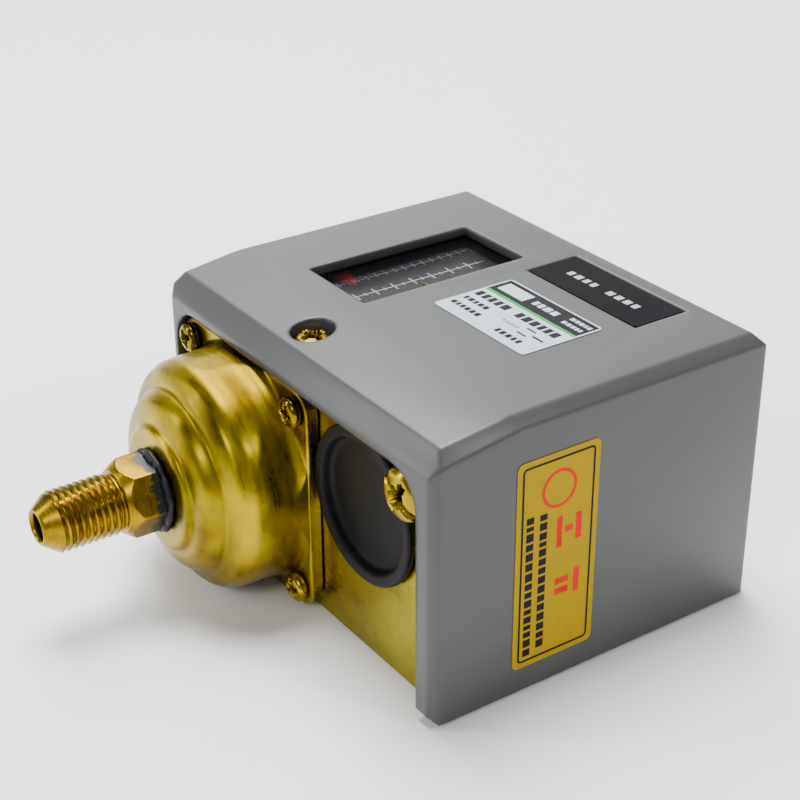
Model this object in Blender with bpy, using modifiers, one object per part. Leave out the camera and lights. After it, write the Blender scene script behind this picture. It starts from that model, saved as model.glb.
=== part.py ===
"""Pressure switch for refrigeration and air plant: a steel U-shaped chassis under a grey cover, a
bellows in a drawn cup with a 1/4 in flare connector, a lever, two adjusting spindles and a switch.

Sizes below are in millimetres and the scene is in metres. X runs across the cover, Y from the
connector to the far end and Z from the mounting face to the front of the cover. Y is counted from
the cover's end face, and MIDDLE_Y moves the origin to the centre of the chassis's mounting face.
"""

import math

import bmesh
import bpy
from mathutils import Matrix, Vector

MM = 0.001
MIDDLE_Y = 35.25

# Cover
COVER_W, COVER_L, COVER_TOP, COVER_RIM = 84.0, 70.15, 52.2, 0.4
WALL = 1.8
SIDE_CHAMFER = (2.0, 1.8)  # across, down
SLOPE_Y, SLOPE_DROP = 15.2, 1.9  # the front falls by this much from SLOPE_Y to the end face
END_CHAMFER = (2.7, 46.2)  # depth along Y at the slope, and the height where it meets the end face
FAR_CHAMFER = (3.4, 3.8)
FOOT_CUT = 1.6  # off the bottom corners of the end with the opening
SOFT_EDGE = 0.8
WINDOW = (-24.8, 20.0, -6.7, 55.15)
RESET = (-1.4, 52.2, 27.4, 63.2)
COVER_SCREW = (-4.4, 8.1)

# Chassis
CHASSIS_W, CHASSIS_Y0, CHASSIS_Y1, SHEET = 78.6, 4.5, 66.0, 1.5
END_PLATE_TOP = 45.4
TAB_TOP = 46.4
MOUNTING_X, MOUNTING_Y, MOUNTING_R = (-36.0, 36.0), (16.0, 56.0), 2.1

# Bellows unit
AXIS_X, AXIS_Z = -17.6, 22.2
CUP_R, CUP_WALL = 21.3, 1.2
FLANGE_HALF, FLANGE_CORNER, SCREW_PITCH = 21.2, 3.6, 17.6
BACKING_HALF = 20.4
FLANGE_Y = (1.4, 2.35)
BACKING_Y = (2.65, 4.2)
NOSE_Y, HEX_AF, HEX_TURN = -39.6, 12.7, 84.2
THREAD_R, BORE_R = 11.1 / 2, 2.4
SHOULDER_R, STEP_Y = 3.8, -8.2  # the cup's drawn shoulder, and where it starts
BELLOWS_R, BELLOWS_ROOT, BELLOWS_WALL, FOLD_PITCH, FOLDS = 11.2, 8.2, 0.45, 2.6, 4

# Cable entry and earth
GROMMET_X, GROMMET_Z, GROMMET_R, GROMMET_HOLE_R = 17.6, 29.2, 14.2, 12.2
EARTH_X, EARTH_Z = 32.4, 39.4

# Setting mechanism
RANGE_X, DIFF_X, SPINDLE_Z = AXIS_X, -2.0, 22.2
RANGE_POINTER_Y, DIFF_POINTER_Y = 29.3, 39.6
RANGE_NUT_Y, DIFF_NUT_Y = (33.0, 37.5), (37.6, 41.6)
RANGE_ARM_X, DIFF_ARM_X = -29.9, -12.4  # the nuts' arms, in the scale plate's slots
SPINDLE_TIP_Y, SPINDLE_HEAD_Y = 16.8, 67.9
SCALE_Z = (45.8, 46.6)
POINTER_Z = (47.0, 47.6)
LEVER_Y, LEVER_Z, LEVER_PIN_R, LEVER_SHEET = 12.0, 6.5, 1.6, 1.4
LEVER_FACE_Y = 9.6
LEVER_X, BRACKET_X = (-28.0, 5.0), (-30.0, 7.0)
GAP = 0.3

# Switch
LEAF_Y, LEAF_Z, LEAF_X = 53.0, 20.0, 11.5
BUTTON_Y = 37.0
CONTACT_Y, CONTACT_R = 32.8, 1.4
TERMINAL_SCREW_Y = 56.0
TERMINALS = (("common", LEAF_X), ("upper", 19.4), ("lower", 27.5))

# Screws: head radius, head height, shank radius, shank length
COVER_SCREW_SIZE = (3.4, 2.1, 1.6, 8.0)
EARTH_SCREW_SIZE = (4.6, 2.6, 2.0, 7.0)
FLANGE_SCREW_SIZE = (2.75, 1.9, 1.4, 6.0)
TERMINAL_SCREW_SIZE = (2.75, 1.9, 1.45, 6.0)


def empty_scene():
    for obj in list(bpy.data.objects):
        bpy.data.objects.remove(obj, do_unlink=True)
    made = []
    for name in ("pressure_switch", "cutters"):
        group = bpy.data.collections.new(name)
        bpy.context.scene.collection.children.link(group)
        made.append(group)
    made[1].hide_render = True
    return made


PARTS, CUTTERS = empty_scene()


def world(x, y, z):
    """Metres in the part's frame, from millimetres with Y counted from the cover's end face."""
    return Vector((x, y - MIDDLE_Y, z)) * MM


def material(name, colour, roughness, metallic):
    made = bpy.data.materials.new(name)
    made.use_nodes = True
    shader = made.node_tree.nodes["Principled BSDF"]
    shader.inputs["Base Color"].default_value = (*colour, 1.0)
    shader.inputs["Roughness"].default_value = roughness
    shader.inputs["Metallic"].default_value = metallic
    made.diffuse_color = (*colour, 1.0)
    return made


GREY = material("grey_cover_plastic", (0.29, 0.31, 0.32), 0.38, 0.0)
SMOKE = material("smoked_window", (0.04, 0.045, 0.05), 0.1, 0.0)
BLACK = material("black_plastic", (0.012, 0.012, 0.013), 0.4, 0.0)
RUBBER = material("black_rubber", (0.02, 0.02, 0.021), 0.75, 0.0)
ZINC = material("yellow_passivated_steel", (0.66, 0.52, 0.12), 0.3, 1.0)
BRASS = material("brass", (0.72, 0.52, 0.16), 0.28, 1.0)
STEEL = material("bright_steel", (0.6, 0.6, 0.58), 0.3, 1.0)
SPRING = material("spring_steel", (0.35, 0.36, 0.37), 0.35, 1.0)
RED = material("red_pointer_enamel", (0.7, 0.04, 0.03), 0.4, 0.0)
BAKELITE = material("brown_black_bakelite", (0.035, 0.022, 0.016), 0.45, 0.0)
WHITE = material("white_label", (0.85, 0.86, 0.86), 0.45, 0.0)
YELLOW = material("yellow_label", (0.95, 0.72, 0.02), 0.4, 0.0)
SEALANT = material("black_sealant", (0.015, 0.014, 0.016), 0.55, 0.0)


def keep(name, mesh, finish, pivot=None, helper=False):
    """An object of this mesh, with its origin at pivot, in the parts or among the cutters."""
    obj = bpy.data.objects.new(name, mesh)
    if pivot is not None:
        mesh.transform(Matrix.Translation(-pivot))
        obj.location = pivot
    if helper:
        obj.hide_render = True
        obj.display_type = "WIRE"
        CUTTERS.objects.link(obj)
    else:
        mesh.materials.append(finish)
        PARTS.objects.link(obj)
    return obj


def mesh_of(bm, name):
    bmesh.ops.recalc_face_normals(bm, faces=bm.faces)
    mesh = bpy.data.meshes.new(name)
    bm.to_mesh(mesh)
    bm.free()
    return mesh


def cube_bm(low, high):
    bm = bmesh.new()
    low, high = world(*low), world(*high)
    size = high - low
    place = Matrix.Translation((low + high) / 2) @ Matrix.Diagonal((*size, 1.0))
    bmesh.ops.create_cube(bm, size=1.0, matrix=place)
    return bm


def block(name, low, high, finish=None, pivot=None, helper=False, corner=0.0, along=1, steps=4):
    """A box from low to high, with the edges that run along one axis rounded by corner."""
    bm = cube_bm(low, high)
    if corner:
        run = Vector([float(i == along) for i in range(3)])
        sides = [(e, (e.verts[0].co - e.verts[1].co).normalized()) for e in bm.edges]
        edges = [e for e, way in sides if abs(way.dot(run)) > 0.9]
        bmesh.ops.bevel(
            bm, geom=edges, offset=corner * MM, segments=steps, profile=0.5, affect="EDGES"
        )
    return keep(name, mesh_of(bm, name), finish, pivot, helper)


def rod(name, start, end, radius, finish=None, pivot=None, helper=False, sides=24, end_radius=None):
    """A cylinder or a cone between two points."""
    a, b = world(*start), world(*end)
    turn = Vector((0, 0, 1)).rotation_difference(b - a).to_matrix().to_4x4()
    bm = bmesh.new()
    bmesh.ops.create_cone(
        bm,
        cap_ends=True,
        segments=sides,
        radius1=radius * MM,
        radius2=(radius if end_radius is None else end_radius) * MM,
        depth=(b - a).length,
        matrix=Matrix.Translation((a + b) / 2) @ turn,
    )
    mesh = mesh_of(bm, name)
    mesh.set_sharp_from_angle(angle=math.radians(40))
    return keep(name, mesh, finish, pivot, helper)


def turned(name, profile, x, z, finish=None, steps=40, helper=False, y=0.0):
    """A profile of (radius, Y) points, turned about a line along Y. It runs from the far end down
    the outer side to the near end, and then back up the bore if it has one."""
    bm = bmesh.new()
    points = [bm.verts.new((r * MM, 0, along * MM)) for r, along in profile]
    closed = profile[0][0] > 0
    pairs = list(zip(points, points[1:] + points[:1] if closed else points[1:]))
    for a, b in pairs:
        bm.edges.new((a, b))
    mesh = bpy.data.meshes.new(name)
    bm.to_mesh(mesh)
    bm.free()
    obj = keep(name, mesh, finish, None, helper)
    obj.location = world(x, y, z)
    obj.rotation_euler = (math.radians(-90), 0, 0)
    screw = obj.modifiers.new("turn", "SCREW")
    screw.steps = screw.render_steps = steps
    screw.use_merge_vertices = True
    screw.merge_threshold = 0.00001
    screw.use_smooth_shade = True
    return obj


def boolean(obj, other, operation):
    step = obj.modifiers.new(other.name, "BOOLEAN")
    step.operation = operation
    step.solver = "EXACT"
    step.object = other
    return obj


def cut(obj, *others):
    for other in others:
        boolean(obj, other, "DIFFERENCE")
    return obj


def fuse(obj, *others):
    for other in others:
        boolean(obj, other, "UNION")
    return obj


def drill(obj, name, start, end, radius, sides=24):
    """A round hole through obj."""
    return cut(obj, rod(name, start, end, radius, helper=True, sides=sides))


def weld_block(obj, name, low, high, **more):
    """Another block made one with obj."""
    return fuse(obj, block(name, low, high, helper=True, **more))


def coil(name, x, z, y0, y1, radius, wire, turns, finish):
    """A compression spring along Y: closed end turns, and an even pitch between them."""
    per_turn = 12
    count = int(turns * per_turn)
    curve = bpy.data.curves.new(name, "CURVE")
    curve.dimensions = "3D"
    curve.bevel_depth = wire / 2 * MM
    curve.bevel_resolution = 1
    curve.use_fill_caps = True
    line = curve.splines.new("POLY")
    line.points.add(count)
    ends = 1.0 / turns
    closed = (wire * 1.12) / (y1 - y0 - wire)
    for i in range(count + 1):
        part = i / count
        if part < ends:
            rise = closed * part / ends
        elif part > 1 - ends:
            rise = 1 - closed * (1 - part) / ends
        else:
            rise = closed + (1 - 2 * closed) * (part - ends) / (1 - 2 * ends)
        angle = 2 * math.pi * turns * part
        y = y0 + wire / 2 + (y1 - y0 - wire) * rise
        place = world(x + radius * math.cos(angle), y, z + radius * math.sin(angle))
        line.points[i].co = (*place, 1.0)
    curve.materials.append(finish)
    obj = bpy.data.objects.new(name, curve)
    PARTS.objects.link(obj)
    return obj


def carry(name, place, *objects):
    """Hangs objects on an empty that stands on their joint's axis."""
    pivot = bpy.data.objects.new(name, None)
    PARTS.objects.link(pivot)
    pivot.location = place
    bpy.context.view_layer.update()
    for obj in objects:
        obj.parent = pivot
        obj.matrix_parent_inverse = pivot.matrix_world.inverted()


# ---------------------------------------------------------------- cover


def planed_block(name, inset, helper):
    """The cover's outside, or its hollow when inset is the wall: a box with planes cut from it."""
    half, low = COVER_W / 2, (COVER_RIM if not inset else -3.0)
    bm = cube_bm(
        (-half + inset, inset, low), (half - inset, COVER_L - inset, COVER_TOP - inset)
    )
    across, down = SIDE_CHAMFER
    top, end_depth = COVER_TOP, END_CHAMFER[0]
    slope = Vector((0, -SLOPE_DROP, SLOPE_Y))
    chamfer_top = top - SLOPE_DROP * (1 - end_depth / SLOPE_Y)
    chamfer = Vector((0, -(chamfer_top - END_CHAMFER[1]), end_depth))
    planes = [
        ((0, SLOPE_Y, top), slope),
        ((0, 0, END_CHAMFER[1]), chamfer),
        ((0, COVER_L, top - FAR_CHAMFER[1]), Vector((0, FAR_CHAMFER[1], FAR_CHAMFER[0]))),
    ]
    if not inset:
        planes.append(((0, 0, COVER_RIM + FOOT_CUT), Vector((0, -1, -1))))
    for side in (-1, 1):
        planes.append(((side * half, 0, top - down), Vector((side * down, 0, across))))
        planes.append(((side * half, 17.0, top - down), Vector((side * 33.7, -4.25, 27.2))))
        planes.append(((side * half, 1.3, 0), Vector((side, -1, 0))))
        planes.append(((side * half, COVER_L - 1.6, 0), Vector((side, 1, 0))))
    for point, normal in planes:
        out = normal.normalized()
        bmesh.ops.bisect_plane(
            bm,
            geom=bm.verts[:] + bm.edges[:] + bm.faces[:],
            plane_co=world(*point) - out * inset * MM,
            plane_no=out,
            clear_outer=True,
        )
        rim = [e for e in bm.edges if e.is_boundary]
        if rim:
            bmesh.ops.contextual_create(bm, geom=rim)
    return keep(name, mesh_of(bm, name), GREY, None, helper)


def make_cover():
    cover = planed_block("cover", 0.0, False)
    soften = cover.modifiers.new("edges", "BEVEL")
    soften.width = SOFT_EDGE * MM
    soften.segments = 3
    soften.limit_method = "ANGLE"
    soften.angle_limit = math.radians(20)
    hollow = planed_block("cover_hollow", WALL, True)
    opening = block(
        "end_opening", (-39.4, -3, -12), (37.6, WALL + 0.6, 44.9), helper=True, corner=6.5, steps=6
    )
    x0, y0, x1, y1 = WINDOW
    window = block(
        "window_opening", (x0, y0, 47), (x1, y1, 60), helper=True, corner=0.5, along=2, steps=2
    )
    x0, y0, x1, y1 = RESET
    recess = block(
        "reset_recess", (x0 - GAP, y0 - GAP, COVER_TOP - 0.9), (x1 + GAP, y1 + GAP, 60), helper=True
    )
    sx, sy = COVER_SCREW
    boss = rod("screw_boss", (sx, sy, 46.7), (sx, sy, 50.3), 5.3, helper=True, sides=32)
    counterbore = rod("screw_counterbore", (sx, sy, 48.2), (sx, sy, 60), 3.97, helper=True, sides=36)
    shank = rod("screw_shank_hole", (sx, sy, 40), (sx, sy, 60), 2.1, helper=True)
    cut(cover, hollow)
    fuse(cover, boss)
    cut(cover, opening, window, recess, counterbore, shank)
    for name, x, radius in (("range_hole", RANGE_X, 5.0), ("diff_hole", DIFF_X, 4.0)):
        drill(cover, name, (x, COVER_L - 5, SPINDLE_Z), (x, COVER_L + 5, SPINDLE_Z), radius)
    return cover


def make_window():
    x0, y0, x1, y1 = WINDOW
    top = COVER_TOP - WALL - GAP
    return block(
        "window_pane", (x0 - 2, y0 - 2, top - 1.5), (x1 + 1.6, y1 + 2, top), SMOKE, corner=1.0, along=2
    )


def make_reset_plate():
    x0, y0, x1, y1 = RESET
    low, high = (x0, y0, COVER_TOP - 0.6), (x1, y1, COVER_TOP + 0.02)
    return block("reset_blanking_plate", low, high, BLACK, corner=0.6, along=2)


def make_labels():
    low, high = (0.1, 29.9, COVER_TOP + 0.05), (25.1, 47.1, COVER_TOP + 0.15)
    rating = block("rating_label", low, high, WHITE, corner=0.8, along=2)
    low, high = (COVER_W / 2 + 0.05, 16.1, 5.1), (COVER_W / 2 + 0.15, 32.8, 44.1)
    side = block("side_label", low, high, YELLOW, corner=1.2, along=0)
    return rating, side


def cross_recess(name, start, end, width, span):
    """A cross-shaped cutter, for a Phillips recess, made of two bars that run from start to end."""
    a, b = Vector(start), Vector(end)
    run = max(range(3), key=lambda i: abs(b[i] - a[i]))
    others = [i for i in range(3) if i != run]
    bars = []
    for n, wide in enumerate(others):
        low, high = Vector(a), Vector(b)
        for i in others:
            half = (span if i == wide else width) / 2
            low[i] -= half
            high[i] += half
        lower = [min(p, q) for p, q in zip(low, high)]
        upper = [max(p, q) for p, q in zip(low, high)]
        bars.append(block(f"{name}_bar_{n}", lower, upper, helper=True))
    return bars


def pan_screw(name, base, way, size, finish, sides=24):
    """A cross-recessed pan-head screw: its head stands on base towards way, and its shank goes in."""
    base, way = Vector(base), Vector(way)
    head_r, head_h, shank_r, shank_l = size
    rim = base + way * (head_h * 0.45)
    top = base + way * head_h
    screw = rod(name, base, rim, head_r, finish, world(*base), sides=sides)
    low, small = rim - way * 0.05, head_r * 0.55
    crown = rod(f"{name}_crown", low, top, head_r, helper=True, sides=sides, end_radius=small)
    foot, tip = base + way * 0.2, base - way * shank_l
    shank = rod(f"{name}_shank", foot, tip, shank_r, helper=True, sides=12)
    fuse(screw, crown, shank)
    recess = cross_recess(name, top + way, top - way * head_h * 0.55, head_r * 0.28, head_r * 1.1)
    return cut(screw, *recess)


# ---------------------------------------------------------------- chassis


def make_chassis():
    half = CHASSIS_W / 2
    chassis = block("chassis", (-half, CHASSIS_Y0, 0), (half, CHASSIS_Y1, SHEET), ZINC)
    for name, y in (("near_end_plate", CHASSIS_Y0), ("far_end_plate", CHASSIS_Y1 - SHEET)):
        weld_block(chassis, name, (-half, y, 0.2), (half, y + SHEET, END_PLATE_TOP))
    near_holes = [
        ("bellows_hole", AXIS_X, AXIS_Z, 12.0, 32),
        ("cable_hole", GROMMET_X, GROMMET_Z, GROMMET_HOLE_R, 36),
        ("earth_hole", EARTH_X, EARTH_Z, 2.4, 16),
    ]
    near_holes += [("flange_screw_hole", x, z, 1.7, 12) for x, z in flange_corners()]
    for name, x, z, radius, sides in near_holes:
        drill(chassis, name, (x, 2, z), (x, 8, z), radius, sides)
    for name, x, radius in (("range_spindle_hole", RANGE_X, 3.4), ("diff_spindle_hole", DIFF_X, 2.4)):
        drill(chassis, name, (x, 62, SPINDLE_Z), (x, 68, SPINDLE_Z), radius)
    for x in MOUNTING_X:
        for y in MOUNTING_Y:
            drill(chassis, "mounting_hole", (x, y, -2), (x, y, 4), MOUNTING_R, 16)
    return chassis


def make_cover_screw_tab():
    """The angle behind the end plate that the cover screw goes into."""
    x, y = COVER_SCREW
    low = CHASSIS_Y0 + SHEET + 0.1
    corners = (x - 6, low, TAB_TOP - SHEET), (x + 6, y + 5.5, TAB_TOP)
    tab = block("cover_screw_tab", *corners, ZINC, corner=2.0, along=2)
    weld_block(tab, "tab_leg", (x - 6, low, 37.0), (x + 1, low + 1.2, TAB_TOP - 0.3))
    return drill(tab, "tab_hole", (x, y, 40), (x, y, 50), 2.3, 16)


def flange_corners():
    return [(AXIS_X + a * SCREW_PITCH, AXIS_Z + b * SCREW_PITCH) for a in (-1, 1) for b in (-1, 1)]


# ---------------------------------------------------------------- bellows unit


def cup_outside():
    """Radius and Y down the drawn cup, from the flange to its neck: cylinder, shoulder, step, disc."""
    shoulder = [
        (CUP_R - SHOULDER_R * (1 - math.cos(a)), STEP_Y - SHOULDER_R * math.sin(a))
        for a in [math.radians(15 * i) for i in range(6)]
    ]
    step = [(16.9, -12.3), (16.4, -13.4), (15.3, -14.6), (13.4, -15.5), (11.8, -15.8), (11.3, -16.3)]
    return [(CUP_R, 0.0)] + shoulder + step + [(10.9, -16.7), (10.4, -17.0)]


def make_cup():
    outside = cup_outside()
    flare = [(0, 1.9), (22.0, 1.9), (21.9, 1.4), (21.5, 0.7)]
    cup = turned("bellows_cup", flare + outside + [(0, -17.0)], AXIS_X, AXIS_Z, ZINC)
    plate = block(
        "cup_flange",
        (AXIS_X - FLANGE_HALF, FLANGE_Y[0], AXIS_Z - FLANGE_HALF),
        (AXIS_X + FLANGE_HALF, FLANGE_Y[1], AXIS_Z + FLANGE_HALF),
        helper=True,
        corner=FLANGE_CORNER,
    )
    trim = 8.0
    edges = []
    for n, (dx, dz) in enumerate(((-1, 0), (1, 0), (0, -1), (0, 1))):
        out = FLANGE_HALF + trim
        centre = Vector((AXIS_X + dx * out, 1.5, AXIS_Z + dz * out))
        reach = Vector((trim if dx else 40, 3.0, trim if dz else 40))
        edges.append(block(f"cup_trim_{n}", centre - reach, centre + reach, helper=True))
    wide = [(r, y) for r, y in outside[1:] if r > 12]
    inner = [(0, 6.0), (CUP_R - CUP_WALL, 6.0)] + [(r - CUP_WALL, y + CUP_WALL) for r, y in wide]
    hollow = turned("cup_hollow", inner + [(11.4, -15.0), (0, -15.8)], AXIS_X, AXIS_Z, helper=True)
    cut(cup, *edges)
    fuse(cup, plate)
    cut(cup, hollow)
    drill(cup, "neck_hole", (AXIS_X, -20, AXIS_Z), (AXIS_X, -10, AXIS_Z), 4.8)
    for x, z in flange_corners():
        drill(cup, "cup_screw_hole", (x, 1, z), (x, 4, z), 1.7, 12)
    return cup


def make_backing_plate():
    plate = block(
        "bellows_backing_plate",
        (AXIS_X - BACKING_HALF, BACKING_Y[0], AXIS_Z - BACKING_HALF),
        (AXIS_X + BACKING_HALF, BACKING_Y[1], AXIS_Z + BACKING_HALF),
        ZINC,
        corner=FLANGE_CORNER,
    )
    drill(plate, "backing_hole", (AXIS_X, 2, AXIS_Z), (AXIS_X, 6, AXIS_Z), 11.6, 32)
    for x, z in flange_corners():
        drill(plate, "backing_screw_hole", (x, 2, z), (x, 6, z), 1.7, 12)
    return plate


def make_bellows():
    """A corrugated tube, open towards the chassis and closed by its end disc towards the connector."""
    outer, root, near = BELLOWS_R, BELLOWS_ROOT, -8.6
    outside = [(outer, 4.1), (outer, 3.1), (root, 2.7), (root, 2.3)]
    for n in range(FOLDS, 0, -1):
        y = near + FOLD_PITCH * n
        outside += [(outer, y), (outer, y - 0.9), (root, y - 1.3), (root, y - 2.1)]
    outside += [(root, near - 0.4)]
    shell = turned("bellows", [(0, 4.1)] + outside + [(0, near - 0.4)], AXIS_X, AXIS_Z, BRASS, steps=24)
    wall = BELLOWS_WALL
    bore = [(0, 5.0), (outer - wall, 5.0)] + [(r - wall, y) for r, y in outside[1:-1]]
    bore += [(root - wall, near + 0.5), (0, near + 0.5)]
    return cut(shell, turned("bellows_bore", bore, AXIS_X, AXIS_Z, steps=24, helper=True))


def make_connector():
    """Flare connector: a bored brass nose with its cone, thread, shoulder and hexagon, and a spigot."""
    profile = [
        (0, -15.2),
        (4.45, -15.2),
        (4.45, -19.0),
        (5.0, -19.6),
        (5.0, -24.6),
        (THREAD_R - 0.25, -25.2),
        (THREAD_R, -25.8),
        (THREAD_R, -36.4),
        (THREAD_R - 0.6, -37.0),
        (3.3, -39.3),
        (3.0, NOSE_Y),
        (0, NOSE_Y),
    ]
    body = turned("flare_connector", profile, AXIS_X, AXIS_Z, BRASS, steps=36)
    corner_r = HEX_AF / math.sqrt(3)
    front, back = (AXIS_X, -24.9, AXIS_Z), (AXIS_X, -18.2, AXIS_Z)
    hexagon = rod("hexagon", front, back, corner_r, helper=True, sides=6)
    hexagon.data.transform(about_axis(AXIS_X, AXIS_Z, HEX_TURN))
    cone = [(0, -17), (9, -17), (9, -22.6), (5.6, -25.1), (0, -25.1)]
    crown = turned("hex_crown", cone, AXIS_X, AXIS_Z, helper=True)
    boolean(hexagon, crown, "INTERSECT")
    fuse(body, hexagon)
    mouth = NOSE_Y + 0.4
    wide = BORE_R + 0.4
    hole = [(0, -10), (BORE_R, -10), (BORE_R, mouth), (wide, NOSE_Y), (wide, -45), (0, -45)]
    return cut(body, turned("connector_bore", hole, AXIS_X, AXIS_Z, helper=True, steps=24))


def about_axis(x, z, degrees):
    centre = world(x, 0, z)
    turn = Matrix.Rotation(math.radians(degrees), 4, "Y")
    return Matrix.Translation(centre) @ turn @ Matrix.Translation(-centre)


def make_sealant():
    ring = [(7.3, -17.35), (7.5, -17.6), (7.2, -17.85), (4.9, -17.85), (4.9, -17.35)]
    return turned("sealant_ring", ring, AXIS_X, AXIS_Z, SEALANT, steps=32)


# ---------------------------------------------------------------- cable entry and earth


def make_grommet():
    """A blind rubber grommet: two flanges with the sheet between them, and a thin membrane."""
    groove = GROMMET_HOLE_R - GAP
    y0, y1 = CHASSIS_Y0 - GAP, CHASSIS_Y0 + SHEET + GAP
    profile = [
        (0, 6.2),
        (8.6, 6.2),
        (8.6, 8.6),
        (groove + 1.2, 8.6),
        (groove + 1.6, y1),
        (groove, y1),
        (groove, y0),
        (GROMMET_R, y0),
        (GROMMET_R, 3.2),
        (GROMMET_R - 0.5, 2.7),
        (12.2, 2.7),
        (11.8, 3.1),
        (11.2, 4.6),
        (0, 4.9),
    ]
    return turned("cable_grommet", profile, GROMMET_X, GROMMET_Z, RUBBER, steps=40)


def make_earth():
    x, z = EARTH_X, EARTH_Z
    spacer = rod("earth_spacer", (x, 2.7, z), (x, 4.2, z), 3.3, ZINC, sides=28)
    drill(spacer, "earth_spacer_hole", (x, 2, z), (x, 6, z), 2.4, 16)
    screw = pan_screw("earth_screw", (x, 2.35, z), (0, -1, 0), EARTH_SCREW_SIZE, BRASS, sides=28)
    return spacer, screw


# ---------------------------------------------------------------- lever and push rod


def make_push_rod():
    foot = [(2.2, -6.6), (5.8, -6.8), (5.8, -7.7), (0, -7.7)]
    stem = [(0, 9.3), (1.6, 9.3), (2.2, 8.7), (2.2, 4.0)]
    return turned("push_rod", stem + foot, AXIS_X, AXIS_Z, STEEL, steps=20)


def make_lever():
    """The main lever: a plate across the push rod, two ears on the pin and an arm to the switch."""
    pivot = world(0, LEVER_Y, LEVER_Z)
    y0, sheet, top = LEVER_FACE_Y, LEVER_SHEET, 34.0
    left, right = LEVER_X
    lever = block("main_lever", (left, y0, 8.6), (right, y0 + sheet, top), ZINC, pivot)
    for n, x in enumerate((left, right - sheet)):
        weld_block(lever, f"lever_ear_{n}", (x, y0, 4.2), (x + sheet, y0 + 5.4, top))
    weld_block(lever, "lever_arm", (right - sheet, y0, 28.5), (right, BUTTON_Y + 2, top))
    weld_block(lever, "lever_tab", (right - sheet, BUTTON_Y - 3, 30), (13.6, BUTTON_Y + 2, 31.3))
    return pin_hole(lever)


def make_lever_bracket():
    low, (left, right) = SHEET + GAP, BRACKET_X
    bracket = block("lever_bracket", (left, 7.8, low), (right, 16.2, low + 1.3), ZINC)
    for n, x in enumerate((left, right - LEVER_SHEET)):
        corners = (x, 8.6, low), (x + LEVER_SHEET, 15.4, 10.2)
        weld_block(bracket, f"bracket_ear_{n}", *corners, corner=2.0, along=0)
    return pin_hole(bracket)


def pin_hole(obj):
    """The lever pin's hole, with GAP all round the pin."""
    radius = LEVER_PIN_R + GAP
    return drill(obj, f"{obj.name}_pin_hole", (-40, LEVER_Y, LEVER_Z), (20, LEVER_Y, LEVER_Z), radius)


def make_lever_pin():
    return rod("lever_pin", (-31.4, LEVER_Y, LEVER_Z), (8.4, LEVER_Y, LEVER_Z), LEVER_PIN_R, STEEL)


# ---------------------------------------------------------------- range and differential setting


def make_spindle(name, x, thread_r, head_r, collar_r):
    """An adjusting spindle: its collar bears on the far end plate, and its slotted head is outside."""
    y1, y2 = CHASSIS_Y1 - SHEET - GAP, CHASSIS_Y1 + GAP
    profile = [
        (0, SPINDLE_HEAD_Y),
        (head_r - 0.4, SPINDLE_HEAD_Y),
        (head_r, SPINDLE_HEAD_Y - 0.4),
        (head_r, y2),
        (thread_r, y2),
        (thread_r, y1),
        (collar_r, y1),
        (collar_r, y1 - 1.2),
        (thread_r, y1 - 1.2),
        (thread_r, SPINDLE_TIP_Y + 0.8),
        (thread_r - 0.8, SPINDLE_TIP_Y),
        (0, SPINDLE_TIP_Y),
    ]
    spindle = turned(name, profile, x, SPINDLE_Z, STEEL, steps=28)
    reach = head_r + 1
    low = (x - reach, SPINDLE_HEAD_Y - 1, SPINDLE_Z - 0.6)
    high = (x + reach, SPINDLE_HEAD_Y + 2, SPINDLE_Z + 0.6)
    return cut(spindle, block(f"{name}_slot", low, high, helper=True))


def make_nut(name, x, half, span, bore, arm_x, pointer_y, bridge_z):
    """A spring nut that rides up its spindle. Its sheet arm stands up through the scale plate."""
    y0, y1 = span
    low, high = bridge_z
    sheet = y0 + 1.4
    arm = (arm_x - 0.5, arm_x + 0.5)
    nut = block(name, (x - half, y0, SPINDLE_Z - half), (x + half, y1, SPINDLE_Z + half), STEEL, corner=1.0)
    weld_block(nut, f"{name}_stem", (x - 0.7, y0, SPINDLE_Z + half - 1.0), (x + 0.7, sheet, high - 0.2))
    weld_block(nut, f"{name}_bridge", (arm[0], y0, low), (x + 0.7, sheet, high))
    weld_block(nut, f"{name}_post", (arm[0], y0, low), (arm[1], sheet, 42.0))
    blade = min(y0, pointer_y - 2), max(y0 + 2, pointer_y + 2)
    weld_block(nut, f"{name}_blade", (arm[0], blade[0], 40.0), (arm[1], blade[1], POINTER_Z[0] - GAP))
    return drill(nut, f"{name}_bore", (x, y0 - 3, SPINDLE_Z), (x, y1 + 3, SPINDLE_Z), bore)


def make_pointer(name, arm_x, y, point_x, half, finish):
    """A flat triangle on the nut's arm, which points across the scale."""
    bm = bmesh.new()
    base = arm_x - math.copysign(0.8, point_x - arm_x)
    corners = [(base, y - half), (point_x, y), (base, y + half)]
    low = [bm.verts.new(world(px, py, POINTER_Z[0])) for px, py in corners]
    face = bm.faces.new(low)
    grown = bmesh.ops.extrude_face_region(bm, geom=[face])
    lifted = [g for g in grown["geom"] if isinstance(g, bmesh.types.BMVert)]
    thickness = POINTER_Z[1] - POINTER_Z[0]
    bmesh.ops.translate(bm, verts=lifted, vec=Vector((0, 0, thickness * MM)))
    return keep(name, mesh_of(bm, name), finish, world(arm_x, y, POINTER_Z[0]))


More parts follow.
